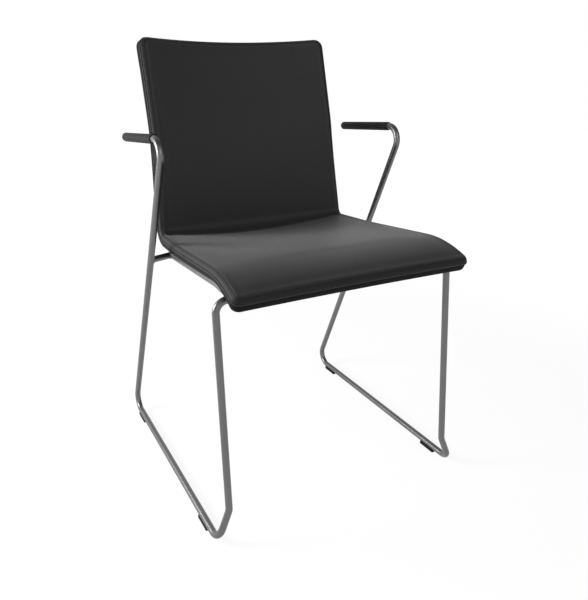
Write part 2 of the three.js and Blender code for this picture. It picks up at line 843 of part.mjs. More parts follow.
for (const [sideName, side] of [['left', -1], ['right', 1]]) {
  const frameCutter = rod(frameCorners(side), frameRadii, cutRadius);
  const railCutter = rod(railCorners(side), [railBendRadius], cutRadius);
  const feet = [
    ['front', frontGlideSetback - runnerFrontReach],
    ['rear', runnerRearReach - rearGlideSetback],
  ];
  const atFoot = (geometry, reach) => geometry.translate(side * runnerHalfSpread, reach, 0);
  const pegHoles = feet.map(([, reach]) => atFoot(glidePeg(seatingGap), reach));
  const frame = rod(frameCorners(side), frameRadii, rodRadius);
  addMesh(`side_frame_${sideName}`, cut(frame, pegHoles), satinSteel);
  const rail = rod(railCorners(side), [railBendRadius], rodRadius);
  addMesh(`seat_rail_${sideName}`, cut(rail, [frameCutter]), satinSteel);
  const stub = rod(stubCorners(side), noBends, rodRadius);
  addMesh(`rear_stub_${sideName}`, cut(stub, [frameCutter, railCutter]), satinSteel);

  const armPadMesh = addMesh(`arm_pad_${sideName}`, armPad(), padMaterial);
  armPadMesh.position.copy(armPlace(side, padFrontSetback));
  armPadMesh.quaternion.setFromUnitVectors(new THREE.Vector3(0, 1, 0), armDirection(side));

  for (const [endName, reach] of feet) {
    const foot = join(glide(), glidePeg(0));
    addMesh(`glide_${endName}_${sideName}`, atFoot(foot, reach), glideMaterial);
  }

  for (const place of fixingPlaces.filter((fixing) => fixing.side === side)) {
    const plateLength = screwRailDistance + lugInnerMargin;
    const plate = new THREE.BoxGeometry(plateLength, lugThickness, lugWidth);
    plate.translate(side * (screwRailDistance - lugInnerMargin) / 2, -(lugTop + lugBottom) / 2, 0);
    plate.applyMatrix4(place.frame);
    const hole = turnedRod(lugHoleDiameter, lugTop - cutOverrun, lugBottom + cutOverrun);
    hole.applyMatrix4(place.frame);
    addMesh(`lug_${place.name}`, cut(plate, [railCutter, hole]), satinSteel);
  }
}

const crossRodEnd = [crossRodJoint[0] - seatingGap, frontRunY, frontRunHeight];
const crossRodEnds = [-1, 1].map((side) => sidePoint(side, crossRodEnd));
addMesh('front_cross_rod', rod(crossRodEnds, noBends, rodRadius), satinSteel);

for (const { name, frame } of fixingPlaces) {
  const washer = turnedRing(lugHoleDiameter, spacerDiameter, spacerTop, spacerBottom);
  addMesh(`spacer_${name}`, washer, glideMaterial).applyMatrix4(frame);

  const head = screwHeadDiameter / 2;
  const shank = screwDiameter / 2;
  const screwTip = headTop - screwLength;
  const screw = addMesh(`screw_${name}`, turned([
    [0, headTop + screwHeadHeight],
    [head * screwCrownShare, headTop + screwHeadHeight],
    [head, headTop],
    [shank, headTop],
    [shank, screwTip],
    [0, screwTip],
  ]), screwSteel);
  screw.applyMatrix4(frame);

  const barrel = insertDiameter / 2;
  const bore = insertBore / 2;
  const flange = insertFlangeDiameter / 2;
  const insertBottom = insertTop + insertLength;
  const insert = addMesh(`insert_${name}`, turned([
    [bore, insertBottom],
    [barrel, insertBottom],
    [barrel, insertSeat],
    [flange, insertSeat],
    [flange, insertTop],
    [bore, insertTop],
    [bore, insertBottom],
  ]), zincSteel);
  insert.applyMatrix4(frame);
}

// The origin lies under the middle of the chair's box.
const extent = new THREE.Box3().setFromObject(chair);
chair.position.y = -(extent.min.y + extent.max.y) / 2;
const object = new THREE.Group();
object.add(chair);

export default object;
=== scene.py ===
import math

import bmesh
import bpy
import numpy as np
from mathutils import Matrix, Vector


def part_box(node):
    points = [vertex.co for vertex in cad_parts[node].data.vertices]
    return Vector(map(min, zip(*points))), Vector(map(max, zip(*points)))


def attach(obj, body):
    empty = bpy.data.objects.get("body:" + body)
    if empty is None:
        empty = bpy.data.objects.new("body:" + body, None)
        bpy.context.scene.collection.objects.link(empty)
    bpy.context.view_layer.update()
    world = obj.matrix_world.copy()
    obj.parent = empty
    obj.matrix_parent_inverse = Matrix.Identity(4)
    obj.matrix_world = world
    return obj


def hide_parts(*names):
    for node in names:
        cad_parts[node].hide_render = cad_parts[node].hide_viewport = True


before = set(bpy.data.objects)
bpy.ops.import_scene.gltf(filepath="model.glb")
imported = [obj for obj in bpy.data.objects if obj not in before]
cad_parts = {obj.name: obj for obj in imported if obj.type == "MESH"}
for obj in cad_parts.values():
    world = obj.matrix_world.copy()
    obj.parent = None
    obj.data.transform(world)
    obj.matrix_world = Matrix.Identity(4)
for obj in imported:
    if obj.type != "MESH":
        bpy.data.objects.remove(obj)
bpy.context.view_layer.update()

# Lengths here are millimetres, as in the solids, and become metres when a mesh is made.
METRE = 0.001

# The shell's side profile, on its upholstered face
CREASE_Y = 109
CREASE_Z = 460
CREASE_RADIUS = 11
SEAT_REAR_RUN = 88
SEAT_SAG_RADIUS = 1500
SEAT_MIDDLE_RUN = 155
FRONT_ROLL_RADIUS = 222
LOWER_BACK_RUN = 182
LUMBAR_RADIUS = 330
UPPER_BACK_RUN = 150.3
FRONT_DROP_ANGLE = 25.5
SEAT_MIDDLE_SLOPE = 4.4
SEAT_REAR_SLOPE = 2.3
LOWER_BACK_LEAN = 7.8
UPPER_BACK_LEAN = 15.1

# The shell's half widths, corners and hollow
FRONT_HALF_WIDTH = 224.5
CREASE_HALF_WIDTH = 209
LUMBAR_HALF_WIDTH = 199
TOP_HALF_WIDTH = 196
SEAT_CORNER_RADIUS = 15
TOP_CORNER_RADIUS = 17
TOP_HOLLOW = 31
CREASE_HOLLOW = 16
HOLLOW_START_RUN = 70
FRONT_CROWN = 2.5
FRONT_CROWN_RUN = 120

# The shell's layers: depths below the upholstered face
GAP = 0.3
COVER = 1.2
CREST_INSET = 9
BAND_BOTTOM = 8.8
PIPING_RADIUS = 1.5
PIPING_INSET = 0.3
PIPING_DEPTH = 11.2
LINING_TOP = 12.8
LOWER_EDGE_RADIUS = 8
LOWER_SIDE_INSET = 17
FOAM_BOTTOM = 15
SHELL_THICKNESS = 29.1
PLYWOOD_INSET = 7

# The frame
ROD_RADIUS = 6.25
RUNNER_HALF_SPREAD = 254.5
RUNNER_FRONT_REACH = 263
RUNNER_REAR_REACH = 270.5
RUNNER_HEIGHT = 11.25
KINK = (231.5, -261, 66)
LEG_TOP = (228.6, -232.4, 435.3)
FRONT_RUN_INNER_END = 150
ARM_CORNER = (241.3, -61, 661)
ARM_REAR = (246.8, 168, 643.6)
BEND_RADII = (26, 26, 23, 24, 20)
RAIL_REAR = (197, 88, 421)
RAIL_BREAK = (197, -158, 437.3)
RAIL_FRONT = (198.5, -232.4, 435.3)
RAIL_BEND_RADIUS = 45
STUB_RISE = 4.3

# Arm pads, glides and fixings
PAD_RADIUS = 8.3
PAD_LENGTH = 180
PAD_SETBACK = 49
ROD_IN_PAD = 160
FRONT_GLIDE_REACH = -199
REAR_GLIDE_REACH = 205
GLIDE_LENGTH = 40
SCREW_HALF_SPREAD = 173
FRONT_SCREW_PAST_ROLL = 71
REAR_SCREW_BEFORE_CORNER = 79.7

# The solids stand this much further back than the values above say, so that their box is centred.
glide_low, glide_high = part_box("glide_rear_left")
BACKWARD_SHIFT = (glide_low.y + glide_high.y) / 2 / METRE - REAR_GLIDE_REACH


def turning(radius, degrees):
    return radius * abs(math.radians(degrees)), math.radians(degrees)


crease_turn = 90 - LOWER_BACK_LEAN + SEAT_REAR_SLOPE
crease_tangent = CREASE_RADIUS * math.tan(math.radians(crease_turn) / 2)
PROFILE = np.array([
    turning(FRONT_ROLL_RADIUS, -(FRONT_DROP_ANGLE + SEAT_MIDDLE_SLOPE)),
    (SEAT_MIDDLE_RUN, 0),
    turning(SEAT_SAG_RADIUS, SEAT_MIDDLE_SLOPE - SEAT_REAR_SLOPE),
    (SEAT_REAR_RUN - crease_tangent, 0),
    turning(CREASE_RADIUS, crease_turn),
    (LOWER_BACK_RUN - crease_tangent, 0),
    turning(LUMBAR_RADIUS, LOWER_BACK_LEAN - UPPER_BACK_LEAN),
    (UPPER_BACK_RUN, 0),
])
piece_ends = np.cumsum(PROFILE[:, 0])
piece_starts = piece_ends - PROFILE[:, 0]
ROLL_END, SEAT_END, BACK_START, LUMBAR_START = piece_ends[[0, 3, 4, 5]]
CREASE_RUN = (SEAT_END + BACK_START) / 2
CORNER_RUN = SEAT_END + crease_tangent
SHELL_LENGTH = piece_ends[-1]


def unit(vector):
    return vector / np.linalg.norm(vector, axis=-1, keepdims=True)


def chord(length, turn):
    """The straight distance across an arc of that length and turn: length times sin(half) over half."""
    return length * np.sinc(turn / 2 / np.pi)


def walk_starts():
    """Place and heading at the start of each piece: chords laid along their mean headings, moved so that the
    seat and back lines meet in the crease corner."""
    lengths, turns = PROFILE.T
    headings = math.radians(FRONT_DROP_ANGLE) + np.cumsum(turns) - turns
    chords = chord(lengths, turns)
    steps = np.stack([chords * np.cos(headings + turns / 2), chords * np.sin(headings + turns / 2)], axis=1)
    places = np.cumsum(steps, axis=0) - steps
    slope = math.radians(SEAT_REAR_SLOPE)
    corner = np.array([CREASE_Y - crease_tangent * math.cos(slope),
                       CREASE_Z + crease_tangent * math.sin(slope)])
    return places + corner - places[4], headings


start_places, start_headings = walk_starts()


def profile_at(run):
    """Place (y, z) and heading at a distance along the side profile: its piece's start plus the chord of the
    part walked, laid along the part's mean heading."""
    run = np.clip(run, 0, SHELL_LENGTH)
    i = np.clip(np.searchsorted(piece_starts, run, side="right") - 1, 0, len(PROFILE) - 1)
    part = run - piece_starts[i]
    turn = PROFILE[i, 1] * part / PROFILE[i, 0]
    mean = start_headings[i] + turn / 2
    across = chord(part, turn)
    y = start_places[i, 0] + across * np.cos(mean)
    z = start_places[i, 1] + across * np.sin(mean)
    return y, z, mean + turn / 2


def ease(low, high, value):
    """Smooth step from 0 to 1: t cubed times (6 t squared less 15 t plus 10)."""
    t = np.clip((value - low) / (high - low), 0, 1)
    return t ** 3 * (t * (6 * t - 15) + 10)


WIDTH_RUNS = np.array([0, CREASE_RUN, LUMBAR_START, SHELL_LENGTH])
HALF_WIDTHS = np.array([FRONT_HALF_WIDTH, CREASE_HALF_WIDTH, LUMBAR_HALF_WIDTH, TOP_HALF_WIDTH])
before, after = [0, 0, 1, 2], [1, 2, 3, 3]
WIDTH_SLOPES = (HALF_WIDTHS[after] - HALF_WIDTHS[before]) / (WIDTH_RUNS[after] - WIDTH_RUNS[before])


def half_width(run):
    """Cubic Hermite curve through the four half widths, each slope taken from its neighbours."""
    run = np.clip(run, 0, SHELL_LENGTH)
    i = np.clip(np.searchsorted(WIDTH_RUNS, run, side="left") - 1, 0, 2)
    step = WIDTH_RUNS[i + 1] - WIDTH_RUNS[i]
    t = (run - WIDTH_RUNS[i]) / step
    start = (1 + 2 * t) * (1 - t) ** 2 * HALF_WIDTHS[i] + t * (1 - t) ** 2 * step * WIDTH_SLOPES[i]
    return start + t * t * (3 - 2 * t) * HALF_WIDTHS[i + 1] + t * t * (t - 1) * step * WIDTH_SLOPES[i + 1]


def hollow(run):
    """How far the middle lies behind the edges: a small crown at the front, then deeper to the top."""
    front = FRONT_CROWN * (ease(0, FRONT_CROWN_RUN, run) - 1)
    seat = CREASE_HOLLOW * ease(HOLLOW_START_RUN, CREASE_RUN, run)
    return front + seat + (TOP_HOLLOW - CREASE_HOLLOW) * ease(CREASE_RUN, SHELL_LENGTH, run)


def face_point(x, run):
    """The face: the profile's place, moved square to it by the hollow times 1 less (x over half width)
    squared."""
    y, z, heading = profile_at(run)
    sunk = hollow(run) * (1 - (x / half_width(run)) ** 2)
    return np.stack(np.broadcast_arrays(x, y + sunk * np.sin(heading), z - sunk * np.cos(heading)), axis=-1)


def face_normal(x, run):
    """Cross product of small steps across and along the face, towards the sitter."""
    probe = 0.5
    safe = np.clip(run, probe, SHELL_LENGTH - probe)
    across = face_point(x + probe, run) - face_point(x - probe, run)
    along = face_point(x, safe + probe) - face_point(x, safe - probe)
    return unit(np.cross(across, along))


def bent(x, run, depth):
    """A flat place (x across, run along, depth below the face) bent into the shell's shape."""
    return face_point(x, run) - face_normal(x, run) * np.asarray(depth)[..., None]


# The shell's grid: steps across, steps round a corner, and rows in each stretch between the corners
ACROSS = 96
CORNER = 12
STRETCH_ROWS = (20, 58, 14, 36, 42)
ENDS = [SEAT_CORNER_RADIUS, ROLL_END, SEAT_END, BACK_START, LUMBAR_START, SHELL_LENGTH - TOP_CORNER_RADIUS]
spread = [np.linspace(*stretch, endpoint=False) for stretch in zip(ENDS, ENDS[1:], STRETCH_ROWS)]
RUN_STATIONS = np.concatenate(spread)[1:]


def outline(inset):
    """Runs and half widths of the outline's rows, drawn in by an inset; the corners are quarter circles."""
    angle = np.linspace(0, np.pi / 2, CORNER + 1)

    def corner(radius):
        small = radius - inset
        return inset + small * (1 - np.cos(angle)), small * (1 - np.sin(angle))

    front, front_cut = corner(SEAT_CORNER_RADIUS)
    top, top_cut = corner(TOP_CORNER_RADIUS)
    run = np.concatenate([front, RUN_STATIONS, SHELL_LENGTH - top[::-1]])
    cut = np.concatenate([front_cut, np.zeros(len(RUN_STATIONS)), top_cut[::-1]])
    return run, half_width(run) - inset - cut


SHARES = np.linspace(-1, 1, ACROSS + 1)


def rim_flat(inset):
    """The outline as one closed walk of flat places: front edge, one side, top edge, other side."""
    run, half = outline(inset)
    x = [SHARES[:-1] * half[0], half[:-1], SHARES[:0:-1] * half[-1], -half[::-1]]
    y = [np.full(ACROSS, run[0]), run[:-1], np.full(ACROSS, run[-1]), run[::-1]]
    return np.concatenate(x), np.concatenate(y)


def walked(places):
    """The distance walked to each of a row of places."""
    return np.concatenate([[0], np.cumsum(np.linalg.norm(np.diff(places, axis=0), axis=1))])


RIM_LENGTH = walked(bent(*rim_flat(0), 0))


def distance_in(x, run):
    """Distance inwards from the outline: that of a box with rounded corners, in the flat."""
    radius = np.where(run < CREASE_RUN, SEAT_CORNER_RADIUS, TOP_CORNER_RADIUS)
    side = np.abs(x) - half_width(run) + radius
    end = np.maximum(radius - run, run - SHELL_LENGTH + radius)
    outside = np.hypot(np.maximum(side, 0), np.maximum(end, 0))
    return radius - outside - np.minimum(np.maximum(side, end), 0)


def shown(name, data):
    """A new object in the scene."""
    made = bpy.data.objects.new(name, data)
    bpy.context.scene.collection.objects.link(made)
    return made


def grid_quads(rows, columns, first=0):
    """The corners of a grid's faces, counted on from a first point."""
    index = first + np.arange(rows * columns).reshape(rows, columns)
    corners = [index[:-1, :-1], index[:-1, 1:], index[1:, 1:], index[1:, :-1]]
    return np.stack(corners, axis=-1).reshape(-1, 4)


def each_pair(first, second):
    """A grid of pairs of every value of the first with every value of the second."""
    return np.stack(np.broadcast_arrays(first[:, None], second[None, :]), axis=-1)


# Points nearer than this are one, edges shorter than a sliver go, and a sharper angle stays an edge.
MERGE_DISTANCE = 0.004
SLIVER = 0.001
SHARP_ANGLE = 40


class Body:
    """Patches gathered into one closed mesh. A patch is a grid of places, with a grid of lengths on the
    cloth or along the rod that becomes its UV map, so a pattern keeps its real scale."""

    def __init__(self):
        self.points, self.lengths, self.quads, self.edges, self.count = [], [], [], [], 0

    def add(self, points, lengths, edge=0.0):
        """edge marks how much the cloth is stretched and rubbed there, from 0 to 1."""
        rows, columns = points.shape[:2]
        self.quads.append(grid_quads(rows, columns, self.count))
        self.points.append(points.reshape(-1, 3))
        self.lengths.append(np.broadcast_to(lengths, (rows, columns, 2)).reshape(-1, 2))
        self.edges.append(np.broadcast_to(edge, (rows, columns)).ravel())
        self.count += rows * columns
        return self

    def make(self, name, material, slot, *replaced):
        """One object at the origin: the patches' shared edges are merged and the normals recalculated."""
        points = (np.concatenate(self.points) + (0, BACKWARD_SHIFT, 0)) * METRE
        quads = np.concatenate(self.quads)
        mesh = bpy.data.meshes.new(name)
        mesh.from_pydata(points, [], quads.tolist())
        uv = mesh.uv_layers.new(name="Lengths")
        uv.data.foreach_set("uv", (np.concatenate(self.lengths)[quads.ravel()] * METRE).ravel())
        edges = np.concatenate(self.edges)
        if edges.any():
            mark = mesh.attributes.new("edge", "FLOAT", "POINT")
            mark.data.foreach_set("value", edges.astype(np.float32))
        merged = bmesh.new()
        merged.from_mesh(mesh)
        bmesh.ops.remove_doubles(merged, verts=merged.verts, dist=MERGE_DISTANCE * METRE)
        bmesh.ops.dissolve_degenerate(merged, edges=merged.edges, dist=SLIVER * METRE)
        bmesh.ops.recalc_face_normals(merged, faces=merged.faces)
        merged.to_mesh(mesh)
        merged.free()
        mesh.shade_smooth()
        mesh.set_sharp_from_angle(angle=math.radians(SHARP_ANGLE))
        mesh.materials.append(material)
        piece = shown(name, mesh)
        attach(piece, "root")
        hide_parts(*replaced)
        return piece


# The edge's side section sets in over these runs, and has this share of it along the back.
SEAT_SIDE_RUN = 110
BACK_SIDE_RUN = 90
BACK_SIDE_SHARE = 0.25
TOP_SIDE_RUN = 60


def along_sides(run):
    """1 along the seat's sides, less along the back's, 0 at the front and top edges and their corners."""
    top = SHELL_LENGTH - TOP_CORNER_RADIUS
    seat = ease(SEAT_CORNER_RADIUS, SEAT_SIDE_RUN, run)
    back = 1 - (1 - BACK_SIDE_SHARE) * ease(SEAT_END, BACK_START + BACK_SIDE_RUN, run)
    return seat * back * (1 - ease(top - TOP_SIDE_RUN, top, run))


def rim_sweep(section, on_sides=None):
    """A section of inset and depth pairs carried round the shell's outline. It turns into the second section
    along the sides."""
    section = np.asarray(section, float)
    on_sides = section if on_sides is None else np.asarray(on_sides, float)
    points = []
    for (inset, depth), (side_inset, side_depth) in zip(section, on_sides):
        x, run = rim_flat(inset)
        share = along_sides(run)
        x = x - np.sign(x) * share * (side_inset - inset)
        points.append(bent(x, run, depth + share * (side_depth - depth)))
    lengths = each_pair(walked(section), RIM_LENGTH)[..., ::-1]
    return np.stack(points), lengths


def sheet_flat(inset, side_inset=None):
    """The flat places of a full grid inside the outline at that inset, or at another along the sides."""
    run, half = outline(inset)
    if side_inset is not None:
        half = half - along_sides(run) * (side_inset - inset)
    return SHARES[None, :] * half[:, None], np.repeat(run[:, None], ACROSS + 1, axis=1)


def sheet(inset, depth, side_inset=None):
    """A full grid inside the outline at one depth."""
    x, run = sheet_flat(inset, side_inset)
    return bent(x, run, np.broadcast_to(depth, x.shape)), np.stack([x, run], axis=-1)


# Shader nodes as formulas, and the coordinate node's outputs
GENERATED, UV, OBJECT = 0, 2, 3


class Wire:
    """A socket in a node tree. Arithmetic on wires and numbers adds Math nodes, and node() any other kind."""

    def __init__(self, tree, socket=None):
        self.tree, self.socket = tree, socket

    def node(self, kind, settings=None, inputs=None, output=0):
        made = self.tree.nodes.new(kind)
        for name, value in (settings or {}).items():
            setattr(made, name, value)
        for name, value in (inputs or {}).items():
            if isinstance(value, Wire):
                self.tree.links.new(value.socket, made.inputs[name])
            else:
                made.inputs[name].default_value = value
        return Wire(self.tree, made.outputs[output])

    def coordinates(self, output):
        return self.node("ShaderNodeTexCoord", output=output)

    def sibling(self, output):
        """Another output of the same node."""
        return Wire(self.tree, self.socket.node.outputs[output])

    def math(self, operation, other=None, clamp=False):
        inputs = {0: self} if other is None else {0: self, 1: other}
        return self.node("ShaderNodeMath", {"operation": operation, "use_clamp": clamp}, inputs)

    def __add__(self, other):
        return self.math("ADD", other)

    def __sub__(self, other):
        return self.math("SUBTRACT", other)

    def __mul__(self, other):
        return self.math("MULTIPLY", other)

    def __truediv__(self, other):
        return self.math("DIVIDE", other)

    def __rsub__(self, other):
        return self.node("ShaderNodeMath", {"operation": "SUBTRACT"}, {0: other, 1: self})

    __radd__ = __add__
    __rmul__ = __mul__

    def clamped(self):
        return self.math("MULTIPLY", 1.0, clamp=True)

    def between(self, low, high):
        """0 below low, 1 above high, smooth between."""
        return self.node("ShaderNodeMapRange", {"interpolation_type": "SMOOTHSTEP"},
                         {"Value": self, "From Min": low, "From Max": high})

    def mix(self, first, second):
        """The second value where this wire is 1, the first where it is 0."""
        return first + (second - first) * self

    def tint(self, first, second):
        """Colours mixed by this wire."""
        inputs = {0: self, 6: (*first, 1), 7: (*second, 1)}
        return self.node("ShaderNodeMix", {"data_type": "RGBA"}, inputs, 2)

    def noise(self, vector, scale, detail=2.0, roughness=0.5, stretch=(1, 1, 1)):
        spread = self.node("ShaderNodeMapping", None, {"Vector": vector, "Scale": stretch})
        return self.node("ShaderNodeTexNoise", None,
                         {"Vector": spread, "Scale": scale, "Detail": detail, "Roughness": roughness})

    def bump(self, height, distance, strength, below=None):
        inputs = {"Height": height, "Distance": distance * METRE, "Strength": strength}
        if below is not None:
            inputs["Normal"] = below
        return self.node("ShaderNodeBump", None, inputs)


def material(name, fixed, drawn):
    """A Principled material: fixed values on its own sockets, and what drawn() gives linked to the others."""
    made = bpy.data.materials.new(name)
    made.use_nodes = True
    tree = made.node_tree
    shader = tree.nodes["Principled BSDF"]
    for socket, value in fixed.items():
        shader.inputs[socket].default_value = value
    for socket, wire in drawn(Wire(tree)).items():
        tree.links.new(wire.socket, shader.inputs[socket])
    return made


def grey(value):
    return value, value, value


def woven(name, dark, light, pitch, relief, gloss, sheen):
    """Plain weave on the cloth's own lengths. Warp and weft are sines of the yarn pitch, and the sign of
    their product says which is on top. Two yarn shades, drawn out along the yarns, and fibre noise give
    the melange, and the low places between the yarns are painted darker as painted shade. Rubbed cloth is
    lighter and smoother, and all cloth has broad, shallow waves."""
    yarns_per_metre = 1 / (pitch * METRE)
    sink, draw, fibre_share, painted_shade_share = 0.45, 0.14, 0.25, 0.3
    lighter, smoother, waves_per_metre, wave_height = 0.25, 0.06, 28, 0.6

    def drawn(w):
        lengths = w.coordinates(UV)
        across = w.node("ShaderNodeSeparateXYZ", None, {0: lengths})
        ways = (across, across.sibling(1))
        warp, weft = ((way * (math.pi / (pitch * METRE))).math("SINE") for way in ways)
        on_top = (warp * weft * 5 + 0.5).clamped()
        tall, flat = warp.math("ABSOLUTE"), weft.math("ABSOLUTE")
        height = on_top.mix(flat * (tall * sink + (1 - sink)), tall * (flat * sink + (1 - sink)))
        warp_shade = w.noise(lengths, yarns_per_metre, 2, 0.6, (1, draw, 1))
        weft_shade = w.noise(lengths, yarns_per_metre, 2, 0.6, (draw, 1, 1))
        fibre = w.noise(lengths, 2.2 / (pitch * METRE), 3, 0.7)
        melange = on_top.mix(weft_shade, warp_shade)
        shade = (melange * (1 - fibre_share) + fibre * fibre_share).between(0.36, 0.66)
        rubbed = w.node("ShaderNodeAttribute", {"attribute_name": "edge"}, output=2)
        # The yarns' height is added to the colour: their tops lighter and the low places between them darker,
        # as painted shade.
        melange_wear_and_painted_shade = (shade * (1 - painted_shade_share) + height * painted_shade_share + rubbed * lighter).clamped()
        waves = w.noise(lengths, waves_per_metre)
        surface = height + fibre * 0.35
        relaxed = w.bump(waves, wave_height, 0.35)
        return {
            "Base Color": melange_wear_and_painted_shade.tint(grey(dark), grey(light)),
            "Roughness": 0.5 + fibre * 0.12 - rubbed * smoother,
            "Normal": w.bump(surface, relief, 0.6, relaxed),
        }

    fixed = {"Specular IOR Level": gloss, "Sheen Weight": sheen, "Sheen Roughness": 0.45,
             "Sheen Tint": (*grey(0.8), 1)}
    return material(name, fixed, drawn)


def steel(name, level, rough):
    """Satin lacquer on steel: fine pits, faint drawn streaks along the rod, and dulled patches."""
    streaks_per_metre, pits_per_metre, patches_per_metre = 900, 1500, 14
    streak_draw, darker, pit_share = 0.04, 0.86, 0.7

    def drawn(w):
        lengths = w.coordinates(UV)
        place = w.coordinates(OBJECT)
        streak = w.noise(lengths, streaks_per_metre, 3, 0.6, (streak_draw, 1, 1))
        patch = w.noise(place, patches_per_metre, 3)
        pits = w.noise(place, pits_per_metre, 2, 0.6)
        shade = (streak * 0.5 + patch * 0.5).between(0.3, 0.7)
        return {
            "Base Color": shade.tint(grey(darker * level), grey(level)),
            "Roughness": rough - 0.06 + patch * 0.12 + streak * 0.05,
            "Normal": w.bump(pits * pit_share + streak * (1 - pit_share), 0.02, 0.12),
        }

    return material(name, {"Metallic": 0.9, "Specular IOR Level": 0.5}, drawn)


def moulded(name, dark, light, rough, grain, relief):
    """Moulded plastic or rubber: a fine cell grain from the mould, with dust that lightens it a little."""
    cell_share, dust_per_metre = 0.7, 60

    def drawn(w):
        place = w.coordinates(OBJECT)
        cells = w.node("ShaderNodeTexVoronoi", {"feature": "SMOOTH_F1"}, {"Vector": place, "Scale": grain})
        dust = w.noise(place, dust_per_metre, 4, 0.6)
        fine = w.noise(place, grain * 1.7)
        return {
            "Base Color": dust.between(0.4, 0.75).tint(grey(dark), grey(light)),
            "Roughness": rough + dust * 0.1 - 0.05,
            "Normal": w.bump(cells * cell_share + fine * (1 - cell_share), relief, 0.5),
        }

    return material(name, {"Specular IOR Level": 0.12}, drawn)


def veneer(name):
    """Beech plywood: noise that is finer across the grain than along it, with fine pores."""
    grain_per_metre, pores_per_metre, grain_share = 40, 700, 0.7

    def drawn(w):
        place = w.coordinates(OBJECT)
        grain = w.noise(place, grain_per_metre, 4, 0.6, (6, 1, 1))
        pores = w.noise(place, pores_per_metre, stretch=(3, 0.2, 0.2))
        shade = (grain * grain_share + pores * (1 - grain_share)).between(0.3, 0.7)
        return {
            "Base Color": shade.tint((0.42, 0.26, 0.13), (0.60, 0.42, 0.24)),
            "Roughness": 0.5 + grain * 0.15,
            "Normal": w.bump(pores, 0.05, 0.4),
        }

    return material(name, {}, drawn)


panel_cloth = woven("panel_cloth", 0.012, 0.031, 0.75, 0.10, 0.28, 0.20)
# The band is the panel's cloth painted a little darker: painted shade on the sides and front edge, which face
# away from the light.
band_cloth_painted_shade = woven("band_cloth_painted_shade", 0.010, 0.026, 0.75, 0.10, 0.14, 0.10)
piping_cloth = woven("piping_cloth", 0.012, 0.032, 0.55, 0.08, 0.16, 0.10)
# The lining is cloth like the panel's, painted about half as light: painted shade on the walls and underside
# that face away from the light.
lining_cloth_painted_shade = woven("lining_cloth_painted_shade", 0.006, 0.015, 0.9, 0.12, 0.03, 0.02)
satin_steel = steel("satin_steel", 0.175, 0.36)
screw_steel = steel("black_screw_steel", 0.05, 0.40)
zinc_steel = steel("zinc_steel", 0.52, 0.35)
sleeve_rubber = moulded("sleeve_rubber", 0.010, 0.017, 0.62, 2200, 0.02)
glide_plastic = moulded("glide_plastic", 0.005, 0.010, 0.6, 1500, 0.02)
beech_ply = veneer("beech_ply")

# The camera, at the photograph's viewing angle, in metres and degrees
CAMERA_PLACE = (-0.54115, -1.06050, 0.780)
CAMERA_AZIMUTH = -27.966
CAMERA_PITCH = -20.882
LENS = 37.542
SENSOR_WIDTH = 36


def aimed(thing, place, heading):
    """A camera or lamp at a place, facing along a heading."""
    thing.location = place
    thing.rotation_mode = "QUATERNION"
    thing.rotation_quaternion = heading.to_track_quat("-Z", "Y")
    return thing


def set_camera():
    lens = bpy.data.cameras.new("camera")
    lens.lens, lens.sensor_width = LENS, SENSOR_WIDTH
    azimuth, pitch = math.radians(CAMERA_AZIMUTH), math.radians(CAMERA_PITCH)
    level = math.cos(pitch)
    heading = Vector((-math.sin(azimuth) * level, math.cos(azimuth) * level, math.sin(pitch)))
    bpy.context.scene.camera = aimed(shown("camera", lens), CAMERA_PLACE, heading)


set_camera()

# The upholstery's face: the valley beside the crest, and the crown that rises over these distances from the
# edge
CREST_DIP = 1.0
CREST_DIP_WIDTH = 8
BACK_DIP_SHARE = 0.55
START_CROWN = 0.5
CROWN_RISE = (14, 110)
RUBBED_WIDTH = 5

# The cloth simulation that swells the face
CLOTH = {"vertex_group_mass": "held", "use_pressure": True, "uniform_pressure_force": 4.0, "quality": 6,
         "tension_stiffness": 25.0, "compression_stiffness": 25.0, "shear_stiffness": 25.0,
         "bending_stiffness": 2.0}
SWELL_FRAMES = 20
SWELL_CAP = 1.6
SWELL_SMOOTHING = 12
FOAM_GIVE = 0.8
CREASE_HOLD = 4


def dip_beside_crest(distance):
    """A shallow valley inside the crest: t squared times e to the 2 less 2t, deepest at t = 1."""
    t = np.maximum(distance - CREST_INSET, 0) / CREST_DIP_WIDTH
    return t ** 2 * np.exp(2 - 2 * t)


def pad_depth(crown):
    """Depth of the pad's face: down in the valley, up towards the middle by the crown."""
    x, run = sheet_flat(CREST_INSET)
    distance = distance_in(x, run)
    softer = 1 - (1 - BACK_DIP_SHARE) * ease(SEAT_END, LUMBAR_START, run)
    depth = CREST_DIP * softer * dip_beside_crest(distance) - crown * ease(*CROWN_RISE, distance)
    depth[[0, -1], :] = 0
    depth[:, [0, -1]] = 0
    return depth


# The edge from the crest to the foot of the band. The seam lies after this many of its steps.
EDGE_STEPS = 18
SEAM_STEP = 5
SEAM_WIDTH = 0.25
FOOT_ROLL = 0.6


def edge_arc(power):
    """From the crest, flat, round to the band's foot, upright, as (inset, depth): inset falls by the sine and
    depth grows by 1 less the cosine, each raised to a power. 1 gives a quarter ellipse, 2 a straight line."""
    angle = np.linspace(0, np.pi / 2, EDGE_STEPS + 1)
    inset = CREST_INSET * (1 - np.sin(angle) ** power)
    return np.stack([inset, (BAND_BOTTOM - FOOT_ROLL) * (1 - np.cos(angle) ** power)], axis=1)


# At the front and top, and along the sides
EDGE_ARCS = (edge_arc(1.5), edge_arc(1.0))


def arc_under(start, end, steps):
    """From the upright at the start round to the flat at the end, a quarter ellipse of (inset, depth)."""
    angle = np.linspace(0, np.pi / 2, steps + 1)
    inset = end[0] + (start[0] - end[0]) * np.cos(angle)
    return np.stack([inset, start[1] + (end[1] - start[1]) * np.sin(angle)], axis=1)


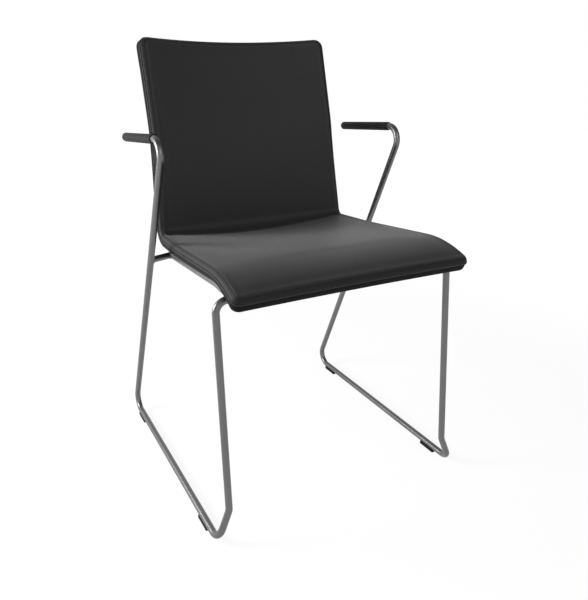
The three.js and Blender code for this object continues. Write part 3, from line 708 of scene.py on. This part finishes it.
def swollen(points, normals, held):
    """The face as a cloth that pressure blows up without gravity, held at some places. The movement is
    averaged with its neighbours and smoothly kept from going inwards, and a point moves by the cap times the
    hyperbolic tangent of what is left over the cap."""
    rows, columns = held.shape
    mesh = bpy.data.meshes.new("swelling_face")
    mesh.from_pydata(points.reshape(-1, 3) * METRE, [], grid_quads(rows, columns).tolist())
    face = shown("swelling_face", mesh)
    scene = bpy.context.scene
    face.vertex_groups.new(name="held").add(np.flatnonzero(held).tolist(), 1.0, "REPLACE")
    cloth = face.modifiers.new("swelling", "CLOTH")
    cloth.settings.effector_weights.gravity = 0
    for setting, value in CLOTH.items():
        setattr(cloth.settings, setting, value)
    cloth.point_cache.frame_start, cloth.point_cache.frame_end = 1, SWELL_FRAMES
    for moment in range(1, SWELL_FRAMES + 1):
        scene.frame_set(moment)
    blown = face.evaluated_get(bpy.context.evaluated_depsgraph_get())
    places = np.empty(rows * columns * 3, np.float32)
    blown.data.vertices.foreach_get("co", places)
    bpy.data.objects.remove(face)
    bpy.data.meshes.remove(mesh)
    scene.frame_set(1)
    moved = np.sum((places.reshape(rows, columns, 3) / METRE - points) * normals, axis=-1)
    free = ~held[1:-1, 1:-1]
    for _ in range(SWELL_SMOOTHING):
        inner = (moved[1:-1, 1:-1] * 2 + moved[:-2, 1:-1] + moved[2:, 1:-1] + moved[1:-1, :-2]
                 + moved[1:-1, 2:])
        moved[1:-1, 1:-1] = np.where(free, inner / 6, 0)
    outwards = (moved + np.sqrt(moved ** 2 + FOAM_GIVE ** 2) - FOAM_GIVE) / 2
    return points + normals * (SWELL_CAP * np.tanh(outwards / SWELL_CAP))[..., None]


def pad_face():
    """The pad's face: drawn with a small crown, which the cloth simulation swells."""
    x, run = sheet_flat(CREST_INSET)
    held = (run > SEAT_END - CREASE_HOLD) & (run < BACK_START + CREASE_HOLD)
    held[[0, -1], :] = True
    held[:, [0, -1]] = True
    return swollen(bent(x, run, pad_depth(START_CROWN)), face_normal(x, run), held)


# Sections of the tucked cloth, as (inset, depth) or as steps from where the fold starts
PAD_TUCK = [(0.05, 0.2), (0.3, 0.55), (1.2, 1.5)]
PAD_INSIDE = [(5.6, 6.4), (3.6, BAND_BOTTOM), (3.6, LINING_TOP), (PLYWOOD_INSET, FOAM_BOTTOM)]
BAND_LIP = [(0.95, 1.3), (0.25, 0.55), (0.08, 0.15)]
BAND_FOOT = [(0.15, BAND_BOTTOM), (0.7, BAND_BOTTOM + 0.25), (1.6, BAND_BOTTOM), (3.2, 6.2)]
LINING_LIP = [(COVER, LINING_TOP + 0.4), (0.7, LINING_TOP), (0.2, LINING_TOP + 0.2)]


def make_pad():
    """Face, rolled crest, tucked seam and the foam's inner side as one closed form."""
    rolls = [arc[:SEAM_STEP + 1] for arc in EDGE_ARCS]
    sections = [np.array([*roll, *(roll[-1] + PAD_TUCK), *PAD_INSIDE]) for roll in rolls]
    flat_places = sheet_flat(CREST_INSET)
    rubbed = 1 - ease(0, RUBBED_WIDTH, distance_in(*flat_places) - CREST_INSET)
    crest = np.zeros(len(sections[0]))
    crest[:SEAM_STEP + 1] = 1
    body = Body()
    body.add(pad_face(), np.stack(flat_places, axis=-1), rubbed)
    body.add(*rim_sweep(*sections), crest[:, None])
    body.add(*sheet(PLYWOOD_INSET, FOAM_BOTTOM))
    return body.make("seat_and_back_pad", panel_cloth, "panel_fabric", "front_cover", "front_foam")


def make_band():
    """The side strip, from the seam below the crest out to the widest place. It is nearly flat at the front
    and round along the sides, and rolls inwards at both seams."""
    sections = []
    for arc in EDGE_ARCS:
        face = arc[SEAM_STEP:].copy()
        face[0] += unit(face[1] - face[0]) * SEAM_WIDTH
        lip = face[0] + BAND_LIP
        sections.append(np.array([*lip, *face, *BAND_FOOT, lip[0]]))
    return Body().add(*rim_sweep(*sections)).make("edge_band", band_cloth_painted_shade, "band_fabric", "side_band")


def make_piping():
    """A round cord sewn into the seam: a circle carried round the outline."""
    angle = np.linspace(0, 2 * np.pi, 17)
    section = np.stack([PIPING_INSET - PIPING_RADIUS * np.cos(angle),
                        PIPING_DEPTH + PIPING_RADIUS * np.sin(angle)], axis=1)
    Body().add(*rim_sweep(section)).make("edge_piping", piping_cloth, "welt_fabric", "seam_welt")


def make_lining():
    """The rear and under cover: a cloth wall that starts below the piping, turns round the lower edge,
    tightly at the ends and widely along the sides, and closes over the whole underside and back."""
    lip_depth, steps, inner_depth = 0.9, 8, SHELL_THICKNESS - COVER
    wall_top, turn_depth = LINING_TOP + lip_depth, SHELL_THICKNESS - LOWER_EDGE_RADIUS
    walls = []
    for draw, outer in ((0, SHELL_THICKNESS), (COVER, inner_depth)):
        straight = [(draw, wall_top), (draw, (wall_top + turn_depth) / 2)]
        ends = [*straight, *arc_under((draw, turn_depth), (LOWER_EDGE_RADIUS, outer), steps)]
        sides = arc_under((draw, wall_top), (LOWER_SIDE_INSET, outer), steps + 2)
        walls.append((np.array(ends), sides))
    sections = [np.array([*inner[::-1], *LINING_LIP, *outer]) for outer, inner in zip(*walls)]
    body = Body()
    body.add(*sheet(LOWER_EDGE_RADIUS, inner_depth, LOWER_SIDE_INSET))
    body.add(*rim_sweep(*sections))
    body.add(*sheet(LOWER_EDGE_RADIUS, SHELL_THICKNESS, LOWER_SIDE_INSET))
    return body.make("rear_lining", lining_cloth_painted_shade, "under_fabric", "rear_cover", "rear_wadding")


pad = make_pad()
band = make_band()
make_piping()
lining = make_lining()


# Rods
ROD_SIDES = 36
ROD_END_ROUNDING = 0.6
BEND_STEP = 4
FIRST_AXIS = (0.3, 0.2, 0.93)


def bent_path(corners, radii):
    """Straight runs joined by arcs. An arc starts its tangent length before the corner, radius times the
    tangent of half the turn, and swings about its centre."""
    places, headings = [corners[0]], [unit(corners[1] - corners[0])]
    for previous, corner, following, radius in zip(corners, corners[1:], corners[2:], radii):
        into, out = unit(corner - previous), unit(following - corner)
        turn = math.acos(np.clip(into @ out, -1, 1))
        inwards = unit(out - (out @ into) * into)
        centre = corner - into * radius * math.tan(turn / 2) + inwards * radius
        steps = max(1, math.ceil(math.degrees(turn) / BEND_STEP))
        angle = np.linspace(0, turn, steps + 1)[:, None]
        places.extend(centre - inwards * radius * np.cos(angle) + into * radius * np.sin(angle))
        headings.extend(into * np.cos(angle) + inwards * np.sin(angle))
    places.append(corners[-1])
    headings.append(unit(corners[-1] - corners[-2]))
    return np.array(places), np.array(headings)


def circle_about(first, second, angle):
    """Directions that turn from the first axis to the second, for each pair of axes and each angle."""
    return first[:, None] * np.cos(angle)[None, :, None] + second[:, None] * np.sin(angle)[None, :, None]


def rings(places, headings, radii, sides):
    """Circles square to the headings. Each ring's first axis is the last one's less its part along the new
    heading, so that the rings don't twist."""
    headings = np.broadcast_to(headings, places.shape)
    axis = unit(np.cross(headings[0], FIRST_AXIS))
    axes = []
    for heading in headings:
        axis = unit(axis - (axis @ heading) * heading)
        axes.append(axis)
    axes = np.array(axes)
    angle = np.linspace(0, 2 * np.pi, sides + 1)
    circle = circle_about(axes, np.cross(headings, axes), angle)
    points = places[:, None] + circle * np.asarray(radii)[:, None, None]
    return points, each_pair(walked(places), angle * ROD_RADIUS)


def rounded_end(place, heading):
    """Stations of a rod's end from its flat middle outwards: a quarter circle of its rounding."""
    angle = np.linspace(0, np.pi / 2, 5)
    size = np.concatenate([[0], ROD_RADIUS - ROD_END_ROUNDING + ROD_END_ROUNDING * np.sin(angle)])
    back = np.concatenate([[0], ROD_END_ROUNDING * (1 - np.cos(angle))])
    return place + heading * back[:, None], np.repeat(heading[None, :], len(size), axis=0), size


def rod(corners, radii=()):
    """A bent round rod with slightly rounded ends."""
    corners = [np.array(corner, float) for corner in corners]
    places, headings = bent_path(corners, radii)
    first, first_headings, first_sizes = rounded_end(places[0], headings[0])
    last, last_headings, last_sizes = rounded_end(places[-1], -headings[-1])
    sizes = np.concatenate([first_sizes, np.full(len(places) - 2, ROD_RADIUS), last_sizes[::-1]])
    places = np.concatenate([first, places[1:-1], last[::-1]])
    headings = np.concatenate([first_headings, headings[1:-1], -last_headings])
    return rings(places, headings, sizes, ROD_SIDES)


def weld(start, heading, host, host_heading):
    """A weld bead round the joint of two rods. For each angle round the first, the line along its side meets
    the second where it is the radius away from that rod's axis. A small rippled ring is carried along it."""
    size, steps, sides, sink_share = 1.5, 96, 10, 0.999
    start, heading = np.array(start, float), unit(np.array(heading, float))
    host, host_heading = np.array(host, float), unit(np.array(host_heading, float))
    first = unit(np.cross(heading, host_heading))
    second = np.cross(heading, first)
    angle = np.linspace(0, 2 * np.pi, steps + 1)[:, None]
    outwards = first * np.cos(angle) + second * np.sin(angle)
    side = start + outwards * ROD_RADIUS * sink_share
    flat = heading - (heading @ host_heading) * host_heading
    offset = side - host
    offset = offset - (offset @ host_heading)[:, None] * host_heading
    a, b = flat @ flat, offset @ flat
    c = np.sum(offset ** 2, axis=1) - ROD_RADIUS ** 2
    along = (-b - np.sqrt(np.maximum(b * b - a * c, 0))) / a
    centre = side + along[:, None] * heading
    path = np.roll(centre[:-1], -1, axis=0) - np.roll(centre[:-1], 1, axis=0)
    path = unit(np.concatenate([path, path[:1]]))
    short_waves, long_waves = np.sin(angle[:, 0] * 22), np.sin(angle[:, 0] * 5)
    ripple = size * (1 + 0.12 * short_waves + 0.05 * long_waves)
    turn = np.linspace(0, 2 * np.pi, sides + 1)
    ring = circle_about(outwards, np.cross(path, outwards), turn)
    points = centre[:, None] + ring * ripple[:, None, None]
    return points, each_pair(angle[:, 0] * ROD_RADIUS, turn * size)


def sided(side, point):
    return np.array(point, float) * (side, 1, 1)


def rear_foot(side):
    return sided(side, (RUNNER_HALF_SPREAD, RUNNER_REAR_REACH, RUNNER_HEIGHT))


def leg_place(side, height):
    """The place on the rear leg's centre line at a height."""
    top, foot = sided(side, ARM_CORNER), rear_foot(side)
    return top + (foot - top) * (top[2] - height) / (top[2] - foot[2])


def arm_heading(side):
    return unit(sided(side, ARM_REAR) - sided(side, ARM_CORNER))


def make_frame(side, word):
    """One side's bent rod, its seat rail and its stub, with the weld beads."""
    arm_end = sided(side, ARM_CORNER) + arm_heading(side) * (PAD_SETBACK + ROD_IN_PAD)
    toe = sided(side, (RUNNER_HALF_SPREAD, -RUNNER_FRONT_REACH, RUNNER_HEIGHT))
    inner_end = sided(side, (FRONT_RUN_INNER_END, LEG_TOP[1], LEG_TOP[2]))
    corners = [arm_end, sided(side, ARM_CORNER), rear_foot(side), toe, sided(side, KINK),
               sided(side, LEG_TOP), inner_end]
    Body().add(*rod(corners, BEND_RADII)).make(
        f"bent_side_rod_{word}", satin_steel, "satin_steel", f"side_frame_{word}")

    rail_rear, rail_break, rail_front = (sided(side, place) for place in (RAIL_REAR, RAIL_BREAK, RAIL_FRONT))
    rail = Body().add(*rod([rail_rear + (0, ROD_RADIUS, 0), rail_break, rail_front], [RAIL_BEND_RADIUS]))
    rail.add(*weld(rail_break, rail_front - rail_break, sided(side, LEG_TOP), (1, 0, 0)))
    rail.make(f"under_seat_rail_{word}", satin_steel, "satin_steel", f"seat_rail_{word}")

    leg_end = leg_place(side, RAIL_REAR[2] + STUB_RISE)
    leg_heading = leg_place(side, 0) - leg_place(side, 1)
    stub = Body().add(*rod([rail_rear, leg_end]))
    middle = (rail_rear + leg_end) / 2
    stub.add(*weld(middle, leg_end - rail_rear, leg_end, leg_heading))
    stub.add(*weld(middle, rail_rear - leg_end, rail_rear, rail_break - rail_rear))
    stub.make(f"leg_stub_{word}", satin_steel, "satin_steel", f"rear_stub_{word}")


def make_cross_rod():
    """The rod between the two front runs. Each butt weld is half an ellipse that starts below the surface."""
    sink, rise, reach, steps = 0.5, 1.1, 2.2, 12
    half = FRONT_RUN_INNER_END - GAP
    middle = np.array([0, LEG_TOP[1], LEG_TOP[2]])
    body = Body().add(*rod([middle - (half, 0, 0), middle + (half, 0, 0)]))
    step = np.linspace(-1, 1, steps + 1)
    size = ROD_RADIUS - sink + rise * np.sqrt(1 - step ** 2)
    for side in (-1, 1):
        places = middle + (side * (half + GAP / 2), 0, 0) + np.outer(step * reach, (1, 0, 0))
        body.add(*rings(places, (1.0, 0, 0), size, ROD_SIDES))
    body.make("under_seat_cross_rod", satin_steel, "satin_steel", "front_cross_rod")


SIDES = ((-1, "left"), (1, "right"))
for side, word in SIDES:
    make_frame(side, word)
make_cross_rod()


# Arm sleeves, glides and fixings

def make_sleeve(side, word):
    """A sleeve turned about the arm's line: bore, rounded lip, straight side and round rear end."""
    clearance, lip, dome, mouth, flare, sides = 0.15, 2.0, 6.5, 0.8, 0.5, 48
    heading = arm_heading(side)
    start = sided(side, ARM_CORNER) + heading * PAD_SETBACK
    bore, bore_end = ROD_RADIUS + clearance, ROD_IN_PAD + GAP
    angle = np.linspace(0, np.pi / 2, 9)
    front = np.stack([lip * (1 - np.sin(angle)), PAD_RADIUS - lip + lip * np.cos(angle)], axis=1)[::-1]
    rear = np.stack([PAD_LENGTH - dome + dome * np.sin(angle), PAD_RADIUS - dome + dome * np.cos(angle)],
                    axis=1)
    inner = [(bore_end, 0), (bore_end, bore), (mouth, bore), (0, bore + flare)]
    profile = np.array([*inner, *front, *rear, (PAD_LENGTH, 0)])
    body = Body().add(*rings(start + heading * profile[:, :1], heading, profile[:, 1], sides))
    body.make(f"arm_sleeve_{word}", sleeve_rubber, "arm_sleeve", f"arm_pad_{word}")


for side, word in SIDES:
    make_sleeve(side, word)

END_SHARE = 0.02
ARC_STEPS = 5


def drawn_in(section, inset):
    """A closed section moved inwards along its corners' bisectors, the sums of the edges' normals."""
    edge = unit(np.roll(section, -1, axis=0) - section)
    normal = np.stack([-edge[:, 1], edge[:, 0]], axis=1)
    before = np.roll(normal, 1, axis=0)
    mean = (normal + before) / (1 + np.sum(normal * before, axis=1, keepdims=True))
    return section + mean * inset


def rounded_corners(corners, radii, steps=ARC_STEPS):
    """A polygon with each corner replaced by an arc of its own radius."""
    corners = np.asarray(corners, float)
    neighbours = zip(np.roll(corners, 1, axis=0), corners, np.roll(corners, -1, axis=0), radii)
    points = []
    for previous, corner, following, radius in neighbours:
        into, out = unit(previous - corner), unit(following - corner)
        half = math.acos(np.clip(into @ out, -1, 1)) / 2
        centre = corner + unit(into + out) * radius / math.sin(half)
        first = corner + into * radius / math.tan(half) - centre
        last = corner + out * radius / math.tan(half) - centre
        share = np.linspace(0, 1, steps + 1)[:, None]
        turn = math.pi - 2 * half
        swung = first * np.sin((1 - share) * turn) + last * np.sin(share * turn)
        points.extend(centre + swung / math.sin(turn))
    return np.array(points)


def slab(section, length, rounding, steps=ARC_STEPS):
    """A section carried along its normal from plus to minus half the length, drawn in at both ends along a
    quarter circle. Each end face narrows to a fiftieth about the section's middle. Gives places as (u, v,
    along)."""
    angle = np.linspace(0, np.pi / 2, steps + 1)
    inset = rounding * (1 - np.sin(angle))
    along = length / 2 - rounding * (1 - np.cos(angle))
    loops = [np.column_stack([drawn_in(section, drawn), np.full(len(section), place)])
             for drawn, place in zip([*inset, *inset[::-1]], [*along, *-along[::-1]])]
    middle = (*(section.mean(axis=0) * (1 - END_SHARE)), 0)
    first, last = (loop * (END_SHARE, END_SHARE, 1) + middle for loop in (loops[0], loops[-1]))
    points = np.array([first, *loops, last])
    return np.concatenate([points, points[:, :1]], axis=1)


def make_glide(side, word, end, reach):
    """A foot with rounded corners and ends that cradles the runner from below."""
    clearance, below_axis, wide, sole, bevel, rounding = 0.1, 3, 7, 5.4, 1.9, 1.2
    groove, lip = ROD_RADIUS + clearance, RUNNER_HEIGHT - below_axis
    start = math.asin(below_axis / groove)
    sweep = np.linspace(-start, -math.pi + start, 15)
    cradle = np.stack([groove * np.cos(sweep), RUNNER_HEIGHT + groove * np.sin(sweep)], axis=1)
    corners = [(wide, lip), (-wide, lip), (-wide, bevel), (-sole, 0), (sole, 0), (wide, bevel)]
    outer = rounded_corners(corners, (0.4, 0.4, 1.2, 1.0, 1.0, 1.2))
    outer = np.roll(outer, -(ARC_STEPS + 1), axis=0)
    points = slab(np.concatenate([outer, cradle]), GLIDE_LENGTH, rounding)
    across, up, along = np.moveaxis(points, -1, 0)
    placed = np.stack([side * RUNNER_HALF_SPREAD + across, reach + along, up], axis=-1)
    Body().add(placed, np.zeros(2)).make(
        f"runner_glide_{end}_{word}", glide_plastic, "glide_plastic", f"glide_{end}_{word}")


# Fixings, as depths below the face and sizes of the pieces
SPACER_RADIUS = 10
SPACER_BORE = 3.4
SPACER_EDGE = 0.8
SPACER_TOP = SHELL_THICKNESS + GAP
SPACER_BOTTOM = SPACER_TOP + ROD_RADIUS - 1.5
LUG_THICKNESS = 3
LUG_TOP = SPACER_BOTTOM + GAP
LUG_BOTTOM = LUG_TOP + LUG_THICKNESS
LUG_CORNERS = [(-13, -13), (24, -13), (24, 13), (-13, 13)]
LUG_CORNER_RADII = (7, 0.5, 0.5, 7)
LUG_ROUNDING = 0.4
HEAD_TOP = LUG_BOTTOM + GAP
HEAD_HEIGHT = 3.3
HEAD_RADIUS = 5.25
SOCKET_FLOOR = 1.2
SOCKET_RADIUS = 2.0
SCREW_RADIUS = 3
SCREW_LENGTH = 20
SCREW_POINT = 0.8


def fixing_frame(side, run):
    """Origin on the face, and the axes across, square to the shell, and along it."""
    x = side * SCREW_HALF_SPREAD
    normal = face_normal(x, run)
    across = unit((1, 0, 0) - normal[0] * normal)
    return face_point(x, run), np.stack([across, normal, np.cross(across, normal)])


def turned(profile, sides=40, socket=()):
    """A profile of radius and depth pairs turned about the fixing's axis. Radii marked as the socket's follow
    a hexagon: the radius over the cosine of the angle to the nearest flat."""
    angle = np.linspace(0, 2 * np.pi, sides + 1)
    radius, depth = np.asarray(profile, float).T
    size = np.repeat(radius[:, None], sides + 1, axis=1)
    if socket:
        size[socket] = size[socket] / np.cos((angle + np.pi / 6) % (np.pi / 3) - np.pi / 6)
    down = np.repeat(depth[:, None], sides + 1, axis=1)
    return np.stack([size * np.cos(angle), -down, size * np.sin(angle)], axis=-1)


def make_fixing(side, word, end, run):
    """A spacer under the shell, the screw through it, and the lug on the seat rail."""
    origin, axes = fixing_frame(side, run)
    name = f"{end}_{word}"

    def make(points, kind, *finish):
        Body().add(origin + points @ axes, np.zeros(2)).make(f"{kind}_{name}", *finish)

    edge = [(SPACER_RADIUS - SPACER_EDGE, 0), (SPACER_RADIUS - SPACER_EDGE / 3, SPACER_EDGE / 3),
            (SPACER_RADIUS, SPACER_EDGE)]
    washer = [(SPACER_BORE, SPACER_TOP), *[(radius, SPACER_TOP + depth) for radius, depth in edge],
              *[(radius, SPACER_BOTTOM - depth) for radius, depth in edge[::-1]],
              (SPACER_BORE, SPACER_BOTTOM), (SPACER_BORE, SPACER_TOP)]
    make(turned(washer), "rubber_spacer", glide_plastic, "glide_plastic", f"spacer_{name}")

    dome = np.radians(np.linspace(8, 62, 7))
    skirt, rise = 0.4, 2.9
    head = np.stack([HEAD_RADIUS * np.cos(dome) / math.cos(dome[0]),
                     HEAD_TOP + skirt + rise * np.sin(dome) / math.sin(dome[-1])], axis=1)
    floor, top, tip = HEAD_TOP + SOCKET_FLOOR, HEAD_TOP + HEAD_HEIGHT, HEAD_TOP - SCREW_LENGTH
    screw = [(0, floor), (SOCKET_RADIUS - 0.2, floor), (SOCKET_RADIUS, top - 0.35),
             (SOCKET_RADIUS + 0.2, top), *head[::-1], (HEAD_RADIUS - 0.05, HEAD_TOP),
             (SCREW_RADIUS, HEAD_TOP), (SCREW_RADIUS, tip + SCREW_POINT), (SCREW_RADIUS - 0.6, tip),
             (0, tip)]
    make(turned(screw, 48, [1, 2, 3]), "socket_screw", screw_steel, "screw_steel", f"screw_{name}")

    plate = rounded_corners(LUG_CORNERS, LUG_CORNER_RADII, 6)
    across, along, up = np.moveaxis(slab(plate, LUG_THICKNESS, LUG_ROUNDING, 3), -1, 0)
    placed = np.stack([side * across, up - (LUG_TOP + LUG_BOTTOM) / 2, along], axis=-1)
    make(placed, "welded_lug", satin_steel, "satin_steel", f"lug_{name}")


for side, word in SIDES:
    make_glide(side, word, "front", FRONT_GLIDE_REACH)
    make_glide(side, word, "rear", REAR_GLIDE_REACH)
    make_fixing(side, word, "front", ROLL_END + FRONT_SCREW_PAST_ROLL)
    make_fixing(side, word, "rear", CORNER_RUN - REAR_SCREW_BEFORE_CORNER)

hidden = {"plywood_shell": beech_ply}
hidden.update({f"insert_{end}_{word}": zinc_steel for end in ("front", "rear") for _, word in SIDES})
for node, finish in hidden.items():
    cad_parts[node].data.materials.clear()
    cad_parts[node].data.materials.append(finish)


# Floor, light and background, in metres and watts
AMBIENT = 0.32
SIDE_WALLS = 0.25
CEILING = 0.3
WALL_EDGES = (0.35, 0.9)
CEILING_EDGES = (0.5, 0.9)
FLOOR_GLOW = 0.87
FLOOR_FADE = (0.7, 1.8)
FLOOR_GREY = 0.95
GLOW_STRENGTH = 1.04
LAMPS_AIM = (0, 0, 0.45)
WHITE = (1, 1, 1, 1)


def path_shares(w):
    """1 for camera rays, and 1 for glossy and transmission rays."""
    camera = w.node("ShaderNodeLightPath")
    glossy, through = camera.sibling("Is Glossy Ray"), camera.sibling("Is Transmission Ray")
    return camera, glossy.math("MAXIMUM", through)


def set_stage():
    """A pale floor that keeps the soft shadow, and is plain white further out."""
    mesh = bpy.data.meshes.new("floor")
    size = 6
    corners = [(-size, -size, 0), (size, -size, 0), (size, size, 0), (-size, size, 0)]
    mesh.from_pydata(corners, [], [(0, 1, 2, 3)])
    floor = shown("floor", mesh)
    made = bpy.data.materials.new("pale_floor")
    made.use_nodes = True
    tree = made.node_tree
    tree.nodes.remove(tree.nodes["Principled BSDF"])
    w = Wire(tree)
    camera, reflected = path_shares(w)
    seen = camera.math("MAXIMUM", reflected)
    plain = w.node("ShaderNodeBsdfDiffuse", None, {"Color": (*grey(FLOOR_GREY), 1)})
    glow = w.node("ShaderNodeEmission", None, {"Color": WHITE, "Strength": GLOW_STRENGTH})
    place = w.coordinates(OBJECT)
    far = w.node("ShaderNodeVectorMath", {"operation": "LENGTH"}, {0: place}, 1).between(*FLOOR_FADE)
    mixed = w.node("ShaderNodeMixShader", None, {0: seen * far.mix(FLOOR_GLOW, 1.0), 1: plain, 2: glow})
    tree.links.new(mixed.socket, tree.nodes["Material Output"].inputs["Surface"])
    mesh.materials.append(made)


def set_world():
    """White to the camera. Reflections show a studio with bright walls before and behind, darker side walls
    and a dark ceiling. All other light from it is one plain level."""
    world = bpy.data.worlds.new("studio")
    world.use_nodes = True
    bpy.context.scene.world = world
    tree = world.node_tree
    w = Wire(tree)
    camera, reflected = path_shares(w)
    way = w.coordinates(GENERATED)
    across = w.node("ShaderNodeSeparateXYZ", None, {0: way})
    along, up = across.sibling(1), across.sibling(2)
    frontal = along.math("ABSOLUTE") / (across * across + along * along + 1e-4).math("SQRT")
    walls = frontal.between(*WALL_EDGES).mix(SIDE_WALLS, 1.0)
    studio = walls * up.between(*CEILING_EDGES).mix(1.0, CEILING)
    strength = camera.mix(reflected.mix(AMBIENT, studio), 1.0)
    tree.links.new(strength.socket, tree.nodes["Background"].inputs["Strength"])
    tree.nodes["Background"].inputs["Color"].default_value = WHITE


def add_lamp(name, place, size, power):
    light = bpy.data.lights.new(name, "AREA")
    light.shape, light.size, light.energy = "DISK", size, power
    aimed(shown(name, light), place, Vector(LAMPS_AIM) - Vector(place)).visible_camera = False


set_stage()
set_world()
add_lamp("key", place=(-1.54, 0.56, 0.92), size=0.8, power=40)
add_lamp("fill", place=(0.0, -2.6, 1.95), size=1.6, power=12)
bpy.context.scene.view_settings.view_transform = "Standard"
